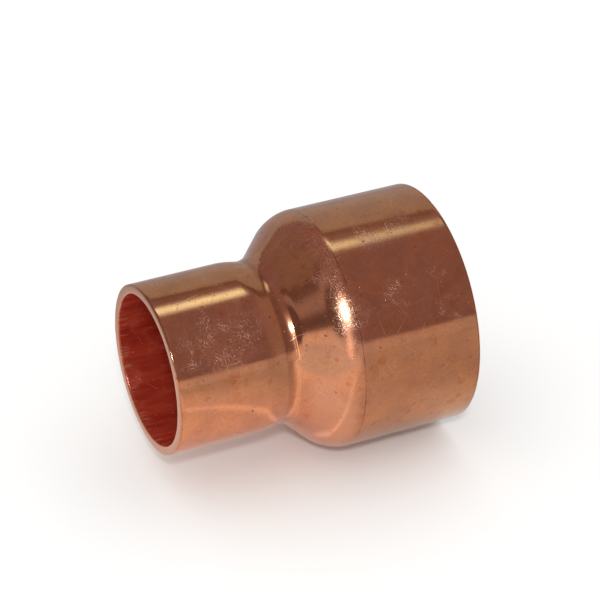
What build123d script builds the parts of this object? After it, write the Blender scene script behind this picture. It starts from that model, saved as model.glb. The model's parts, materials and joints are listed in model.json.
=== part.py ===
from build123d import *

import os
from math import atan2, degrees, hypot, radians, tan

# Concentric reducing coupler that joins two sizes of copper tube, end to end, with solder.
#
# The real fitting is one piece of copper: a length of tube with one end swaged down, the other end expanded, and
# both ends then sized as sockets.  Nothing is joined to it and nothing moves, so the model is one solid, turned
# round the X axis.
#
# Frame: millimetres, +Z up, axis along X.  The origin is the centre of the large socket's mouth.  +X points out of
# that mouth, and the small socket opens towards -X.  The fitting lies on its side, on the large socket's wall.

# Tubes and wall
TUBE_LARGE = 22.0  # outside diameter of the larger tube
TUBE_SMALL = 15.0  # outside diameter of the smaller tube
SOLDER_GAP = 0.05  # radial gap that the solder fills, all round each tube
WALL = 0.95  # thickness of the copper

# Lengths along the axis
SOCKET_LARGE = 12.05  # straight part of the large socket, from its mouth to where the shoulder starts to round
SOCKET_SMALL = 9.13  # straight part of the small socket, from its mouth to where the neck starts to come in
NECK_TAPER = 2.6  # between the corners of the small socket and of the neck, before they are rounded

# The neck and the flare between the sockets
NECK_STEP = 0.5  # how far the neck comes in from the small socket, which stops the tube
FLARE_ANGLE = 45.0  # slope of the flare, in degrees from the axis
STOP_RADIUS = 7.0  # outside, where the small socket starts to narrow
NECK_RADIUS = 2.3  # outside, in the valley of the neck
SHOULDER_RADIUS = 3.7  # outside, where the flare rounds over into the large socket

# Edges of the two mouths
RIM_ROUND = 0.15  # outer edge, tumbled smooth
MOUTH_ROUND = 0.2  # inner edge, which leads the tube in
LEAST_ROUND = 0.2  # tightest bend that the wall's inside can take

# What follows from them
BORE_LARGE = TUBE_LARGE / 2 + SOLDER_GAP
BORE_SMALL = TUBE_SMALL / 2 + SOLDER_GAP
OUTER_LARGE = BORE_LARGE + WALL
OUTER_SMALL = BORE_SMALL + WALL


def wall_line():
    """Outside of the wall as corners (x, radius), from the large mouth to the small one, and a radius for each.

    The first and last corners are the mouths and get their radii from the rims.
    """
    steep = radians(FLARE_ANGLE)
    taper = atan2(NECK_STEP, NECK_TAPER)
    neck_radius = OUTER_SMALL - NECK_STEP

    shoulder = (-SOCKET_LARGE - SHOULDER_RADIUS * tan(steep / 2), OUTER_LARGE)
    neck = (shoulder[0] - (shoulder[1] - neck_radius) / tan(steep), neck_radius)
    stop = (neck[0] - NECK_TAPER, OUTER_SMALL)
    small_mouth = (stop[0] - STOP_RADIUS * tan(taper / 2) - SOCKET_SMALL, OUTER_SMALL)
    corners = [(0.0, OUTER_LARGE), shoulder, neck, stop, small_mouth]
    radii = [SHOULDER_RADIUS, NECK_RADIUS, STOP_RADIUS]
    return corners, radii


def turn_at(before, corner, after):
    """Degrees by which the line turns at a corner, positive to the left."""
    heading_in = atan2(corner[1] - before[1], corner[0] - before[0])
    heading_out = atan2(after[1] - corner[1], after[0] - corner[0])
    return degrees((heading_out - heading_in + radians(180)) % radians(360)) - 180


def parallel(corners, distance):
    """The same line moved to its left by a distance, corner by corner, with mitred corners."""
    normals = []
    for (x0, r0), (x1, r1) in zip(corners, corners[1:]):
        length = hypot(x1 - x0, r1 - r0)
        normals.append(((r0 - r1) / length, (x1 - x0) / length))
    moved = []
    for i, (x, r) in enumerate(corners):
        a = normals[max(i - 1, 0)]
        b = normals[min(i, len(normals) - 1)]
        stretch = distance / (1 + a[0] * b[0] + a[1] * b[1])
        moved.append((x + (a[0] + b[0]) * stretch, r + (a[1] + b[1]) * stretch))
    return moved


def section():
    """Half section of the wall, a closed line above the axis in the XZ plane."""
    outside, radii = wall_line()
    inside = parallel(outside, WALL)
    turns = [turn_at(*outside[i : i + 3]) for i in range(len(radii))]
    # A round that bulges outwards is tighter inside by the wall, and the neck's valley is wider by it.
    inside_radii = [
        max(radius - WALL if turn > 0 else radius + WALL, LEAST_ROUND) for radius, turn in zip(radii, turns)
    ]
    corners = outside + inside[::-1]
    all_radii = [RIM_ROUND, *radii, RIM_ROUND, MOUTH_ROUND, *inside_radii[::-1], MOUTH_ROUND]
    line = FilletPolyline(*[(x, 0, r) for x, r in corners], radius=all_radii, close=True)
    return make_face(line)


def reducer_body():
    """The whole fitting: its section turned round the X axis."""
    return revolve(section(), axis=Axis.X, revolution_arc=360)


os.makedirs("parts", exist_ok=True)
body = reducer_body()
body.label = "reducer_body"
export_step(body, "parts/reducer_body.step")
print("overall length", round(-wall_line()[0][-1][0], 3), "mm, volume", round(body.volume, 1), "mm3")
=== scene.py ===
"""Looks of a copper reducing coupler: one wall of copper, drawn as a line, spun round the X axis and thickened.

Everything is in metres in the part's own frame: X along the axis, with the large mouth at X = 0 and the small
mouth towards -X, and Z up.  Patterns on the copper are worked out in millimetres.
"""

import json
from math import cos, pi, radians, sin, tan
from random import Random

import bmesh
import bpy
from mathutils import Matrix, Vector, noise


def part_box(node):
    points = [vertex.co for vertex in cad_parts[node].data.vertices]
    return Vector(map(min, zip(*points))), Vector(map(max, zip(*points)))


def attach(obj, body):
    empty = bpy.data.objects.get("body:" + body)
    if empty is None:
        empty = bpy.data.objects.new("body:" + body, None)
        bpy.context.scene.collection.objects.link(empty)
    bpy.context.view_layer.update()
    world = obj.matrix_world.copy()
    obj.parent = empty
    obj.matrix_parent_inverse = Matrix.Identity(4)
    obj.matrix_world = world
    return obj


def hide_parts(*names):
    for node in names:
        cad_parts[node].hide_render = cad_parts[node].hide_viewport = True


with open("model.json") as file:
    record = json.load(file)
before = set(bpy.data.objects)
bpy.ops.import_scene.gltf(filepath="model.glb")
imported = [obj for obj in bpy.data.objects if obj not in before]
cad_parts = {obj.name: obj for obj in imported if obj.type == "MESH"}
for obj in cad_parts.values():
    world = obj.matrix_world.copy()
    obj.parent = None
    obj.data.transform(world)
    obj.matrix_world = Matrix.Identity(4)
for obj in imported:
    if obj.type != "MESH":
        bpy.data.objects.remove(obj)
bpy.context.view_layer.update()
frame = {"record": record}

MM = 0.001

# ---------------------------------------------------------------- sizes that the frame gives
LOW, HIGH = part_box("reducer_body")
MOUNTS = {mount["name"]: mount for mount in frame["record"]["mounts"]}
SMALL_MOUTH, LARGE_MOUTH = LOW[0], HIGH[0]
SOCKET_LARGE = MOUNTS["large_socket"]["dims"]["length_mm"] * MM
SOCKET_SMALL = MOUNTS["small_socket"]["dims"]["length_mm"] * MM
BORE_LARGE = MOUNTS["large_socket"]["dims"]["r_mm"] * MM
BORE_SMALL = MOUNTS["small_socket"]["dims"]["r_mm"] * MM
OUTER_LARGE = HIGH[2]
WALL = OUTER_LARGE - BORE_LARGE
OUTER_SMALL = BORE_SMALL + WALL

# ---------------------------------------------------------------- sizes of the neck, the shoulder and the rims
NECK_STEP = 0.5 * MM  # how far the neck comes in from the small socket
NECK_TAPER = 2.6 * MM  # between the corners of the small socket and of the neck, before they are rounded
FLARE_ANGLE = radians(45)
STOP_RADIUS = 7.0 * MM
NECK_RADIUS = 2.3 * MM
SHOULDER_RADIUS = 3.7 * MM
RIM_ROUND = 0.15 * MM
MOUTH_ROUND = 0.2 * MM

# ---------------------------------------------------------------- how finely the wall is cut up
STEPS_ROUND = 220  # steps of the spin
STEP_ALONG = 0.36 * MM  # longest straight bit along the wall
STEP_BEND = 0.09 * MM  # longest bit of a bend
RIM_STEPS = 4  # across each rounded edge of a rim

# ---------------------------------------------------------------- marks of making and handling
WAVE_HEIGHT, WAVE_LENGTH = 0.006 * MM, 7 * MM  # the wall is never quite round
RUBBED_SPOTS = (  # where other fittings rubbed against this one: x in mm, turn in degrees, reach in mm
    (-28.6, 44, 2.6), (-26.0, 50, 3.6), (-24.8, 32, 3.2), (-22.4, 46, 3.6), (-17.0, 44, 2.6), (-13.4, 62, 2.4),
    (-12.9, 36, 3.0), (-8.2, 40, 1.3), (-3.6, 48, 1.2), (-3.2, 31, 1.5),
)
DENT_COUNT, DENT_REACH, DENT_DEPTH = 16, (0.8 * MM, 2.2 * MM), (0.004 * MM, 0.014 * MM)
NICK_COUNT, NICK_REACH, NICK_DEPTH = 16, 0.35 * MM, 0.06 * MM  # on each rim's outer edge


# ================================================================ the wall
def wall_corners():
    """Corners (x, radius) of the wall's outside from the large mouth to the small one, and a bend for each."""
    shoulder = (LARGE_MOUTH - SOCKET_LARGE - SHOULDER_RADIUS * tan(FLARE_ANGLE / 2), OUTER_LARGE)
    flare_length = (NECK_STEP + OUTER_LARGE - OUTER_SMALL) / tan(FLARE_ANGLE)
    neck = (shoulder[0] - flare_length, OUTER_SMALL - NECK_STEP)
    stop = (neck[0] - NECK_TAPER, OUTER_SMALL)
    corners = [(LARGE_MOUTH, OUTER_LARGE), shoulder, neck, stop, (SMALL_MOUTH, OUTER_SMALL)]
    return corners, [0, SHOULDER_RADIUS, NECK_RADIUS, STOP_RADIUS, 0]


NECK_X = wall_corners()[0][2][0]
DIE_LINE_X = LARGE_MOUTH - SOCKET_LARGE - 0.25 * MM  # a scratch that the die left round the end of the shoulder
PRESS_RING_X = NECK_X + 0.22 * MM  # and one where the neck turns into the flare


def draw_wall_line(bm):
    """The outside of the wall, as a line of short edges above the axis with its corners bent round."""
    corners, bends = wall_corners()
    verts = [bm.verts.new((x, 0, radius)) for x, radius in corners]
    for vert, following in zip(verts, verts[1:]):
        bm.edges.new((vert, following))
    for vert, bend in zip(verts, bends):
        if bend:
            before, after = (edge.other_vert(vert).co - vert.co for edge in vert.link_edges)
            turn = pi - before.angle(after)
            bmesh.ops.bevel(bm, geom=[vert], offset=bend * tan(turn / 2), offset_type="OFFSET",
                            affect="VERTICES", segments=round(bend * turn / STEP_BEND), profile=0.5, material=-1)
    for edge in bm.edges[:]:
        cuts = int(edge.calc_length() / STEP_ALONG)
        if cuts:
            bmesh.ops.subdivide_edges(bm, edges=[edge], cuts=cuts)


def round_rim(bm, mouth, radius, amount):
    """Rounds the circle of edges of that radius at a mouth."""
    def on_circle(vert):
        return abs(vert.co.x - mouth) < STEP_BEND / 4 and abs(vert.co.yz.length - radius) < STEP_BEND / 4

    circle = [edge for edge in bm.edges if all(on_circle(vert) for vert in edge.verts)]
    bmesh.ops.bevel(bm, geom=circle, offset=amount, offset_type="OFFSET", affect="EDGES", segments=RIM_STEPS,
                    profile=0.5, material=-1)


def on_wall(x, turn, radius):
    """A point at that radius, turned round the axis in degrees from -Y towards +Z."""
    return Vector((x, -radius * cos(radians(turn)), radius * sin(radians(turn))))


def bell(distance, reach):
    """1 in the middle, falling smoothly to 0 at reach."""
    return (1 - (distance / reach) ** 2) ** 2 if distance < reach else 0.0


def wear(bm):
    """Waves, dents and nicks: the small ways in which a pressed and handled fitting isn't round."""
    draw = Random(22)
    outside = [vert for vert in bm.verts if vert.co.yz.length > OUTER_SMALL - NECK_STEP - WALL / 2]
    dents = []
    for _ in range(DENT_COUNT):
        x = draw.uniform(SMALL_MOUTH, LARGE_MOUTH)
        radius = OUTER_SMALL if x < NECK_X else OUTER_LARGE
        dents.append((on_wall(x, draw.uniform(-180, 180), radius), draw.uniform(*DENT_REACH),
                      draw.uniform(*DENT_DEPTH)))
    nicks = []
    for mouth, radius in ((SMALL_MOUTH, OUTER_SMALL), (LARGE_MOUTH, OUTER_LARGE)):
        for _ in range(NICK_COUNT):
            nicks.append((on_wall(mouth, draw.uniform(-180, 180), radius), NICK_REACH * draw.uniform(0.5, 1.0),
                          NICK_DEPTH * draw.uniform(0.3, 1.0)))
    for vert in outside:
        out = Vector((0, *vert.co.yz)).normalized()
        sink = -WAVE_HEIGHT * noise.noise(vert.co / WAVE_LENGTH)
        sink += sum(depth * bell((vert.co - spot).length, reach) for spot, reach, depth in dents + nicks)
        vert.co -= out * sink


def mark_bore(bm):
    """Writes 1 on the wall's inside and 0 on its outside to the attribute bore."""
    layer = bm.verts.layers.float.new("bore")
    bm.normal_update()
    for vert in bm.verts:
        vert[layer] = float(vert.normal.dot(Vector((0, *vert.co.yz))) < 0)


def reducer_body():
    """The fitting: the wall's line spun round the axis, thickened inwards, its rims rounded."""
    bm = bmesh.new()
    draw_wall_line(bm)
    bmesh.ops.spin(bm, geom=bm.verts[:] + bm.edges[:], cent=(0, 0, 0), axis=(1, 0, 0), dvec=(0, 0, 0),
                   angle=2 * pi, steps=STEPS_ROUND, use_merge=True)
    bmesh.ops.remove_doubles(bm, verts=bm.verts[:], dist=STEP_BEND / 100)
    bmesh.ops.recalc_face_normals(bm, faces=bm.faces[:])
    bmesh.ops.solidify(bm, geom=bm.faces[:], thickness=WALL)
    bmesh.ops.recalc_face_normals(bm, faces=bm.faces[:])
    for mouth, outer, bore in ((LARGE_MOUTH, OUTER_LARGE, BORE_LARGE), (SMALL_MOUTH, OUTER_SMALL, BORE_SMALL)):
        round_rim(bm, mouth, outer, RIM_ROUND)
        round_rim(bm, mouth, bore, MOUTH_ROUND)
    mark_bore(bm)
    wear(bm)
    mesh = bpy.data.meshes.new("reducer_body_skin")
    bm.to_mesh(mesh)
    bm.free()
    mesh.shade_smooth()
    piece = bpy.data.objects.new("reducer_body_skin", mesh)
    bpy.context.collection.objects.link(piece)
    return piece


# ================================================================ shader maths
class Value:
    """An output socket.  Arithmetic on it adds the Math nodes that work it out."""

    def __init__(self, paint, socket):
        self.paint, self.socket = paint, socket

    def math(self, operation, *values):
        return self.paint.node("ShaderNodeMath", {"operation": operation}, dict(enumerate(values)))

    def __add__(self, other):
        return self.math("ADD", self, other)

    def __sub__(self, other):
        return self.math("SUBTRACT", self, other)

    def __rsub__(self, other):
        return self.math("SUBTRACT", other, self)

    def __mul__(self, other):
        return self.math("MULTIPLY", self, other)

    def __truediv__(self, other):
        return self.math("DIVIDE", self, other)

    def __neg__(self):
        return self.math("MULTIPLY", self, -1.0)

    def __abs__(self):
        return self.math("ABSOLUTE", self)

    __radd__, __rmul__ = __add__, __mul__

    def out(self, name):
        """Another output of the same node."""
        return Value(self.paint, self.socket.node.outputs[name])

    def out_color(self):
        """The colour output of the same node."""
        return Value(self.paint, next(socket for socket in self.socket.node.outputs if socket.type == "RGBA"))


class Paint:
    """Builds one material's or world's node tree."""

    def __init__(self, owner):
        owner.use_nodes = True
        self.tree = owner.node_tree
        self.tree.nodes.clear()

    def node(self, kind, settings=None, inputs=None):
        """Adds a node with its settings and its sockets' values or links, and returns its first output."""
        node = self.tree.nodes.new(kind)
        for name, setting in (settings or {}).items():
            setattr(node, name, setting)
        for name, value in (inputs or {}).items():
            if isinstance(value, Value):
                self.tree.links.new(value.socket, node.inputs[name])
            else:
                node.inputs[name].default_value = value
        outputs = [socket for socket in node.outputs if socket.enabled]
        return Value(self, outputs[0]) if outputs else None

    def vector(self, operation, *values):
        return self.node("ShaderNodeVectorMath", {"operation": operation}, dict(enumerate(values)))

    def scale(self, vector, amount):
        return self.node("ShaderNodeVectorMath", {"operation": "SCALE"}, {0: vector, "Scale": amount})

    def dot(self, a, b):
        return self.vector("DOT_PRODUCT", a, b).out("Value")

    def split(self, vector):
        x = self.node("ShaderNodeSeparateXYZ", {}, {"Vector": vector})
        return x, x.out("Y"), x.out("Z")

    def join(self, x, y, z=0.0):
        return self.node("ShaderNodeCombineXYZ", {}, {"X": x, "Y": y, "Z": z})

    def math(self, operation, *values):
        return self.node("ShaderNodeMath", {"operation": operation}, dict(enumerate(values)))

    def ease(self, value, low, high):
        """0 where value is at low and 1 at high, eased between.  High may be below low."""
        if high < low:
            return 1 - self.ease(value, high, low)
        return self.node("ShaderNodeMapRange", {"interpolation_type": "SMOOTHSTEP"},
                         {"Value": value, "From Min": low, "From Max": high})

    def mix(self, factor, a, b):
        """Colour a where factor is 0 and b where it is 1."""
        factor_in, a_in, b_in = 0, 6, 7  # the colour sockets of a Mix node
        return self.node("ShaderNodeMix", {"data_type": "RGBA"},
                         {factor_in: factor, a_in: color4(a), b_in: color4(b)}).out_color()

    def cloud(self, vector, scale, detail=2.0, roughness=0.5, **settings):
        """Noise from 0 to 1, mostly near a half."""
        return self.node("ShaderNodeTexNoise", settings,
                         {"Vector": vector, "Scale": scale, "Detail": detail, "Roughness": roughness})


def color4(color):
    """A colour socket's value: a link as it is, a plain colour with its fourth number added."""
    return color if isinstance(color, Value) else (*color, 1.0)


# ================================================================ copper
BRIGHT = (0.66, 0.265, 0.13)  # clean copper that has been handled
FILM = (0.50, 0.18, 0.085)  # thin oxide film over it
PALE = (0.74, 0.38, 0.24)  # where the film is rubbed thin; also a painted reflection on the underside of the flare
SPOT = (0.20, 0.06, 0.03)  # tarnish spots; also darkens the die's scratch, the rim edges and the neck's valley
STAIN = (0.50, 0.13, 0.05)  # orange blotches
VIOLET = (0.50, 0.215, 0.135)  # a film of another thickness
SCUFFED = (0.88, 0.50, 0.38)  # fresh metal in scratches
CUT = (0.50, 0.235, 0.14)  # the faces that the saw left
FLUXED, FLUXED_DARK = (0.60, 0.082, 0.040), (0.42, 0.038, 0.019)  # the bore's red oxide
FLUXED_PALE = (0.72, 0.16, 0.09)  # where it is thin


class Surface:
    """Where a point of the fitting is, in millimetres, for the patterns on it."""

    def __init__(self, paint):
        self.paint = paint
        metres = paint.node("ShaderNodeTexCoord").out("Object")
        self.place = paint.scale(metres, 1 / MM)
        self.x, self.y, self.z = paint.split(self.place)
        self.radius = paint.math("SQRT", self.y * self.y + self.z * self.z)
        self.turn = paint.math("ARCTAN2", self.z, -self.y)
        self.round = self.turn * self.radius  # distance round the wall
        self.flat = paint.join(self.x, self.round)  # the wall rolled out flat
        self.bore = paint.node("ShaderNodeAttribute", {"attribute_name": "bore"}).out("Fac")
        near_small = abs(self.x - SMALL_MOUTH / MM)
        near_large = abs(self.x - LARGE_MOUTH / MM)
        self.from_mouth = paint.math("MINIMUM", near_small, near_large)

    def wander(self, amount, size, seed):
        """The flat wall pushed about a little, so that a straight mark on it isn't quite straight."""
        p = self.paint
        push = p.cloud(p.vector("ADD", self.flat, (seed, -seed, 0)), 1 / size).out("Color")
        push = p.vector("SUBTRACT", push, (0.5, 0.5, 0.5))
        return p.vector("ADD", self.flat, p.scale(push, amount))

    def net(self, cell, wander, size, seed, shift):
        """A random net over the flat wall: its grid, its nearest points, and three chances for each cell."""
        p = self.paint
        grid = p.vector("ADD", self.wander(wander, size, seed), (seed * shift[0], seed * shift[1], 0))
        grid = p.scale(grid, 1 / cell)
        net = p.node("ShaderNodeTexVoronoi", {"voronoi_dimensions": "2D"}, {"Vector": grid, "Scale": 1.0})
        return grid, net, p.split(net.out("Color"))

    def hairlines(self, cell, width, share, seed, wander=0.6):
        """Short scratches, one in each cell of a random net, each with its own direction.  1 on a scratch."""
        p = self.paint
        grid, net, (chance, lean, length) = self.net(cell, wander, 2.5, seed, (7.1, 3.3))
        dx, dy, _ = p.split(p.vector("SUBTRACT", grid, net.out("Position")))
        angle = lean * (2 * pi)
        across = abs(dx * p.math("SINE", angle) - dy * p.math("COSINE", angle))
        along = abs(dx * p.math("COSINE", angle) + dy * p.math("SINE", angle))
        line = p.ease(across, width / cell, 0.2 * width / cell)
        line = line * p.ease(along - length * 0.35, 0.2, 0.1)
        return line * p.ease(chance, 1 - share, 1 - share + 0.02)

    def dots(self, cell, size, share, seed):
        """Round spots of mixed sizes, at most one in each cell of a random net.  1 on a spot."""
        p = self.paint
        _, net, (chance, big, _) = self.net(cell, 0.5, 0.8, seed, (5.7, 2.9))
        reach = (0.25 + big * 0.75) * (size / cell)
        spot = p.ease(net / reach, 1.0, 0.5)
        return spot * p.ease(chance, 1 - share, 1 - share + 0.02)

    def ring(self, x, width):
        """1 on a line round the fitting at x metres, fading out over width millimetres."""
        return self.paint.ease(abs(self.x - x / MM), width, 0.0)


def most(paint, *values):
    """The greatest of the values."""
    found = values[0]
    for value in values[1:]:
        found = paint.math("MAXIMUM", found, value)
    return found


def copper():
    """Handled copper: an oxide film, tarnish, scratches and scuffs outside, red oxide inside, and sawn rims."""
    material = bpy.data.materials.new("copper")
    paint = Paint(material)
    wall = Surface(paint)
    outside = 1 - wall.bore

    # Scratches: a light scatter everywhere, and tangles of short scuffs where fittings rubbed together.
    rubbed = paint.ease(paint.cloud(wall.place, 0.24, 2.0), 0.54, 0.70) * 0.4
    uneven = paint.vector("SUBTRACT", paint.cloud(wall.place, 0.5, 3.0).out("Color"), (0.5, 0.5, 0.5))
    uneven = paint.vector("MULTIPLY_ADD", uneven, (7, 7, 7), wall.place)
    for x, turn, reach in RUBBED_SPOTS:
        spot = on_wall(x, turn, OUTER_SMALL / MM if x < NECK_X / MM else OUTER_LARGE / MM)
        from_spot = paint.vector("DISTANCE", uneven, spot).out("Value")
        rubbed = most(paint, rubbed, paint.ease(from_spot, reach, 0.4))
    rubbed = rubbed * outside
    shoulder = paint.ease(abs(wall.x - (DIE_LINE_X / MM - 1.0)), 1.8, 0.3)  # it is worn all round
    clumps = paint.ease(paint.cloud(paint.vector("ADD", wall.place, (31, 7, 5)), 0.9, 3.0), 0.42, 0.60)
    scatter = most(paint, wall.hairlines(3.6, 0.04, 0.3, 1.3, 0.4), wall.hairlines(2.0, 0.045, 0.35, 4.7, 0.3))
    scuffs = most(paint, wall.hairlines(1.3, 0.05, 0.7, 2.1, 0.1), wall.hairlines(0.8, 0.05, 0.8, 6.4, 0.1))
    fine = most(paint, wall.hairlines(0.24, 0.045, 0.8, 8.8, 0.05), wall.hairlines(0.38, 0.045, 0.8, 3.6, 0.05))
    scuffs = most(paint, scuffs * (0.35 + 0.45 * clumps), fine * (0.4 + 0.35 * clumps))
    # Scuffs on the shoulder are kept to its upper side, where the flash lights them: real scuffs, and in part a
    # painted halo round the highlight.
    lit_side = paint.ease(wall.turn, 0.2, 0.6)
    scratches = most(paint, scatter * 0.35, scuffs * most(paint, rubbed, shoulder * lit_side * 0.7))

    # Grain that drawing left along the tube, and turning marks round the neck.
    drawn = paint.cloud(paint.vector("MULTIPLY", wall.place, (0.35, 9.0, 9.0)), 1.0, 3.0, 0.6)
    turned = paint.cloud(paint.vector("MULTIPLY", wall.place, (14.0, 0.5, 0.5)), 1.0, 3.0, 0.7)
    neck = paint.ease(abs(wall.x - (NECK_X / MM + 0.9)), 2.6, 1.2)

    # Tarnish.
    mottle = paint.cloud(wall.place, 0.45, 5.0, 0.65)
    grain = paint.cloud(wall.place, 3.2, 4.0, 0.7)
    film = paint.ease(mottle, 0.40, 0.72)
    stain = paint.ease(paint.cloud(paint.vector("ADD", wall.place, (3, 40, 9)), 0.8, 4.0, 0.6), 0.56, 0.72)
    stain = most(paint, stain, wall.dots(3.2, 0.5, 0.4, 2.4))
    specks = most(paint, wall.dots(1.5, 0.12, 0.4, 5.2), wall.dots(0.8, 0.08, 0.4, 9.1) * 0.7)
    die_line = wall.ring(DIE_LINE_X, 0.09) * paint.ease(mottle, 0.35, 0.6) * outside
    press_ring = wall.ring(PRESS_RING_X, 0.24) * outside

    color = paint.mix(film * 0.5, BRIGHT, FILM)
    color = paint.mix(paint.ease(grain, 0.42, 0.72) * 0.35, color, FILM)
    color = paint.mix(paint.ease(grain, 0.50, 0.28) * 0.22, color, PALE)
    violet = paint.ease(paint.cloud(paint.vector("ADD", wall.place, (17, 3, 28)), 0.35, 3.0), 0.42, 0.6)
    color = paint.mix(violet * 0.35, color, VIOLET)
    color = paint.mix(stain * 0.5, color, STAIN)
    color = paint.mix(most(paint, specks * 0.7, die_line * 0.7), color, SPOT)
    valley = paint.ease(abs(wall.x - (NECK_X / MM - 0.75)), 0.55, 0.1) * outside  # darker round the neck's valley
    color = paint.mix(valley * 0.35, color, SPOT)
    # Painted reflection: the underside of the flare is made paler, as if it mirrored the pale floor.
    flare = paint.ease(wall.x, NECK_X / MM + 0.6, NECK_X / MM + 1.6) * paint.ease(wall.x, -12.4, -13.6)
    color = paint.mix(flare * paint.ease(wall.turn, 0.25, -0.25) * outside * 0.35, color, PALE)
    color = paint.mix(most(paint, scratches * 0.9, rubbed * clumps * 0.08), color, SCUFFED)
    cut = paint.ease(wall.from_mouth, 0.05, 0.02)
    streaks = paint.cloud(paint.vector("MULTIPLY", wall.place, (0.2, 2.2, 2.2)), 1.0, 3.0, 0.5)
    inside = paint.mix(paint.ease(streaks, 0.25, 0.75), FLUXED_DARK, FLUXED)
    inside = paint.mix(paint.ease(mottle, 0.5, 0.7) * 0.5, inside, FLUXED_PALE)
    ticks = paint.cloud(paint.vector("MULTIPLY", wall.place, (0.3, 4.5, 4.5)), 1.0, 2.0)
    at_mouth = paint.ease(wall.from_mouth, 1.3, 0.3)
    inside = paint.mix(paint.ease(ticks, 0.52, 0.66) * at_mouth * 0.6, inside, PALE)
    inside = paint.mix(scratches * 0.5, inside, PALE)
    color = paint.mix(wall.bore * (1 - cut), color, inside)
    color = paint.mix(cut, color, CUT)
    rim_edge = paint.ease(abs(wall.from_mouth - 0.15), 0.10, 0.03) * (0.35 + 0.3 * wall.bore)
    color = paint.mix(rim_edge, color, SPOT)

    rough = 0.085 + 0.03 * mottle + 0.03 * turned * neck + 0.03 * drawn + 0.07 * shoulder + 0.05 * rubbed
    rough = rough + 0.30 * scratches + 0.3 * specks
    rough = rough + 0.12 * wall.bore * (1 - cut) + 0.18 * cut

    height = -0.006 * scratches - 0.010 * specks
    height = height - 0.012 * press_ring - 0.003 * die_line
    height = height + 0.0016 * drawn * (1 - 0.7 * wall.bore) + 0.0011 * grain + 0.0013 * turned * neck * outside
    bump = paint.node("ShaderNodeBump", {}, {"Strength": 1.0, "Distance": MM, "Height": height})

    shader = paint.node("ShaderNodeBsdfPrincipled", {},
                        {"Base Color": color, "Metallic": 1 - 0.4 * wall.bore * (1 - cut), "Roughness": rough,
                         "Normal": bump})
    paint.node("ShaderNodeOutputMaterial", {}, {"Surface": shader})
    return material


# ================================================================ studio
def direction(turn, rise):
    """Direction as seen from the part: turn in degrees from -Y towards +X, rise in degrees above level."""
    a, e = radians(turn), radians(rise)
    return Vector((sin(a) * cos(e), -cos(a) * cos(e), sin(e)))


FLOOR_HALF = 2.5
SKY_LIGHT = 1.05  # even light from all round, which only lights the floor
FLOOR_SEEN = (0.88, 0.88, 0.87)
# What the copper reflects of the floor: painted light and shade, brighter near the part and to the left, darker
# on the right and at the back.
FLOOR_RIGHT, FLOOR_LEFT = (0.48, 0.47, 0.44), (0.90, 0.87, 0.85)
FLOOR_FAR_LEFT = (0.68, 0.75, 0.80)
FLOOR_NEAR, FLOOR_BACK = (0.96, 0.94, 0.93), (0.38, 0.38, 0.39)
FLOOR_NEAR_RIGHT = (0.74, 0.82, 0.80)
# A glint on the floor, as light that the neck throws.
GLINT_FROM, GLINT_TURN, GLINT = Vector((-15.5, -3.6, 0)) * MM, -11.6, (0.35, 0.33, 0.31)

# The light tent that the copper reflects.  Its pale wall ends at an edge that runs nearly level all round,
# and the darker room shows over it.
TENT_EDGE_UP, TENT_EDGE, TENT_EDGE_LEFT = Vector((0.118, 0.108, 0.987)), 0.12, 0.105
TENT_NEAR, TENT_FAR, TENT_LEFT = (0.77, 0.76, 0.76), (0.60, 0.61, 0.60), (0.98, 0.98, 0.96)
ROOM, ROOM_LOW, ROOM_RIGHT = (0.32, 0.245, 0.27), (0.28, 0.21, 0.25), (0.38, 0.31, 0.31)
SIDE_DARK = (0.17, 0.13, 0.14)  # something dark that stands beside the camera, and what shows past it
SIDE_BANDS = ((-0.38, (0.16, 0.12, 0.13)), (-0.17, (0.43, 0.39, 0.42)), (0.03, (0.20, 0.15, 0.15)),
              (0.22, (0.31, 0.26, 0.25)))

# The tent's back wall ends at a dark beam at the top and at a dark post on the left, and a long lamp hangs
# over it.
BACK_TOP, BACK_SIDE = Vector((0.36, 0.66, -0.66)), Vector((0.739, 0.277, -0.614))
BACK_WALL, BEAM = (0.46, 0.50, 0.48), (0.20, 0.13, 0.10)
LAMP_ALONG, LAMP_GLOW = Vector((0.287, 0.853, -0.436)), (1.8, 2.8, 2.5)
# A tall narrow gap in the tent behind the camera, brighter at its foot.
STREAK_TURN, STREAK_GLOW, STREAK_FOOT = -22, (1.25, 1.25, 1.25), (2.1, 2.1, 2.1)


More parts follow.
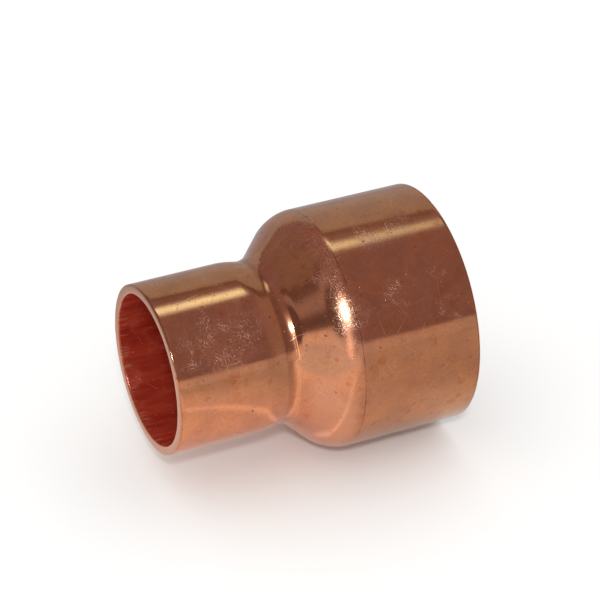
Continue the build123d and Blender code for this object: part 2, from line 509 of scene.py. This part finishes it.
def floor():
    """A plain pale floor.  What the copper reflects of it has painted light and shade: brighter near the part
    and to the left, darker on the right and at the back, with a painted glint.
    """
    bm = bmesh.new()
    bmesh.ops.create_grid(bm, x_segments=1, y_segments=1, size=FLOOR_HALF)
    bmesh.ops.translate(bm, verts=bm.verts[:], vec=(0, 0, LOW[2]))
    mesh = bpy.data.meshes.new("floor")
    bm.to_mesh(mesh)
    bm.free()
    piece = bpy.data.objects.new("floor", mesh)
    bpy.context.collection.objects.link(piece)
    material = bpy.data.materials.new("floor")
    paint = Paint(material)
    place = paint.node("ShaderNodeTexCoord").out("Object")
    x, y, _ = paint.split(place)
    seen = paint.node("ShaderNodeLightPath")  # 1 where the floor is looked at, 0 where it is reflected
    # Painted light and shade in the reflected floor: lighter to the left and near the part, darker to the right
    # and at the back.
    reflected = paint.mix(paint.ease(x, 10 * MM, -40 * MM), FLOOR_RIGHT, FLOOR_LEFT)
    reflected = paint.mix(paint.ease(x, -36 * MM, -52 * MM), reflected, FLOOR_FAR_LEFT)
    near = paint.mix(paint.ease(x, -16 * MM, -6 * MM), FLOOR_NEAR, FLOOR_NEAR_RIGHT)
    reflected = paint.mix(paint.ease(y, -26 * MM, -6 * MM), reflected, near)
    reflected = paint.mix(paint.ease(y, 5 * MM, 50 * MM), reflected, FLOOR_BACK)
    from_glint = paint.vector("SUBTRACT", place, GLINT_FROM)
    aside = abs(paint.dot(from_glint, direction(GLINT_TURN + 90, 0)))
    along = paint.dot(from_glint, direction(GLINT_TURN, 0))
    glint = paint.ease(aside / (0.7 * MM + 0.05 * along), 1.0, 0.0) * paint.ease(along, 0.0, 3 * MM)
    glint = glint * paint.ease(along, 90 * MM, 30 * MM) * (1 - seen)
    color = paint.mix(seen, reflected, FLOOR_SEEN)
    matte = paint.node("ShaderNodeBsdfDiffuse", {}, {"Color": color})
    thrown = paint.node("ShaderNodeEmission", {}, {"Color": paint.mix(glint, (0, 0, 0), GLINT)})
    shader = paint.node("ShaderNodeAddShader", {}, {0: matte, 1: thrown})
    paint.node("ShaderNodeOutputMaterial", {}, {"Surface": shader})
    mesh.materials.append(material)


def sky():
    """A soft even sky that lights the floor, and the light tent that the copper reflects."""
    world = bpy.data.worlds.new("studio")
    bpy.context.scene.world = world
    paint = Paint(world)
    way = paint.node("ShaderNodeTexCoord")  # Generated: the direction looked in
    x, y, z = paint.split(way)
    to_left = paint.ease(x, -0.2, -0.6)
    lower = TENT_EDGE_LEFT * to_left * (0.4 + 0.6 * paint.ease(y, -0.55, -0.25))
    height = paint.dot(way, TENT_EDGE_UP) - TENT_EDGE + lower
    wall = paint.mix(paint.ease(x, 0.28, 0.44), TENT_NEAR, TENT_FAR)
    wall = paint.mix(to_left, wall, TENT_LEFT)
    room = paint.mix(paint.ease(height, 0.0, 0.15), ROOM_LOW, ROOM)
    room = paint.mix(paint.ease(x, 0.42, 0.6), room, ROOM_RIGHT)
    side = SIDE_DARK
    for start, color in SIDE_BANDS:
        side = paint.mix(paint.ease(y, start - 0.04, start + 0.04), side, color)
    room = paint.mix(to_left, room, side)
    tent = paint.mix(paint.ease(height, -0.006, 0.006), wall, room)

    under_beam, past_post = paint.dot(way, BACK_TOP), paint.dot(way, BACK_SIDE)
    over = paint.ease(under_beam - 0.25 * paint.ease(x, 0.4, 0.55), -0.47, -0.40) * paint.ease(x, -0.4, -0.3)
    tent = paint.mix(over * paint.ease(past_post, -0.06, -0.03) * paint.ease(z, -0.02, 0.02), tent, BEAM)
    back = paint.ease(under_beam, -0.06, -0.03) * paint.ease(past_post, -0.01, 0.01) * paint.ease(y, 0.0, 0.1)
    tent = paint.mix(back, tent, BACK_WALL)
    lamp_width = 0.115 + 0.06 * paint.ease(x, 0.37, 0.33)
    lamp_light = paint.ease(abs(paint.dot(way, LAMP_ALONG) + 0.012) / lamp_width, 1.0, 0.0)
    lamp_light = lamp_light * paint.ease(x, 0.15, 0.25) * paint.ease(x, 0.47, 0.29) * paint.ease(z, 0.5, 0.7)
    tent = paint.mix(lamp_light, tent, LAMP_GLOW)

    aside = abs(paint.dot(way, direction(STREAK_TURN + 90, 0)))
    streak = paint.ease(aside, 0.16, 0.0) * paint.ease(paint.dot(way, direction(STREAK_TURN, 0)), 0.2, 0.5)
    streak_light = paint.mix(paint.ease(z, 0.5, 0.3), STREAK_GLOW, STREAK_FOOT)
    tent = paint.mix(streak * paint.ease(z, 0.93, 0.7), tent, streak_light)
    rays = paint.node("ShaderNodeLightPath")
    glossy = paint.node("ShaderNodeBackground", {}, {"Color": tent})
    plain = paint.node("ShaderNodeBackground", {}, {"Color": (SKY_LIGHT, SKY_LIGHT, SKY_LIGHT, 1)})
    both = paint.node("ShaderNodeMixShader", {}, {0: rays.out("Is Glossy Ray"), 1: plain, 2: glossy})
    paint.node("ShaderNodeOutputWorld", {}, {"Surface": both})


FLASH_DISTANCE, FLASH_SIZE = 0.6, 0.05


def lamp(name, way, distance, size, power, tint, floor_only):
    """A round lamp in that direction, which either lights the floor only or shines in the copper only."""
    light = bpy.data.lights.new(name, "AREA")
    light.shape, light.size, light.energy, light.color = "DISK", size, power, tint
    piece = bpy.data.objects.new(name, light)
    bpy.context.collection.objects.link(piece)
    piece.location = (LOW + HIGH) / 2 + way * distance
    piece.rotation_mode = "QUATERNION"
    piece.rotation_quaternion = way.to_track_quat("Z", "Y")
    piece.visible_diffuse, piece.visible_glossy = floor_only, not floor_only


CAMERA_TURN, CAMERA_RISE, CAMERA_DISTANCE = -24.66, 32.68, 264.7 * MM
CAMERA_LENS = 162.5  # mm, on the usual 36 mm wide sensor
LOOK_AT = Vector((1.25, 0, 3.72)) * MM  # from the middle of the part's box


def camera():
    """The camera, looking at the side of the fitting from a little above."""
    data = bpy.data.cameras.new("camera")
    data.lens = CAMERA_LENS
    data.clip_start = 10 * MM
    piece = bpy.data.objects.new("camera", data)
    bpy.context.collection.objects.link(piece)
    back = direction(CAMERA_TURN, CAMERA_RISE)
    piece.location = (LOW + HIGH) / 2 + LOOK_AT + back * CAMERA_DISTANCE
    piece.rotation_mode = "QUATERNION"
    piece.rotation_quaternion = (-back).to_track_quat("-Z", "Y")
    bpy.context.scene.camera = piece


body = reducer_body()
body.data.materials.append(copper())
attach(body, "root")
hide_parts("reducer_body")

floor()
sky()
lamp("flash_on_floor", direction(-23, 41), FLASH_DISTANCE, FLASH_SIZE, 1.0, (1, 1, 1), True)
lamp("flash", direction(-23, 42), FLASH_DISTANCE, FLASH_SIZE, 1.6, (0.72, 1.0, 1.18), False)
camera()
bpy.context.scene.view_settings.view_transform = "Standard"
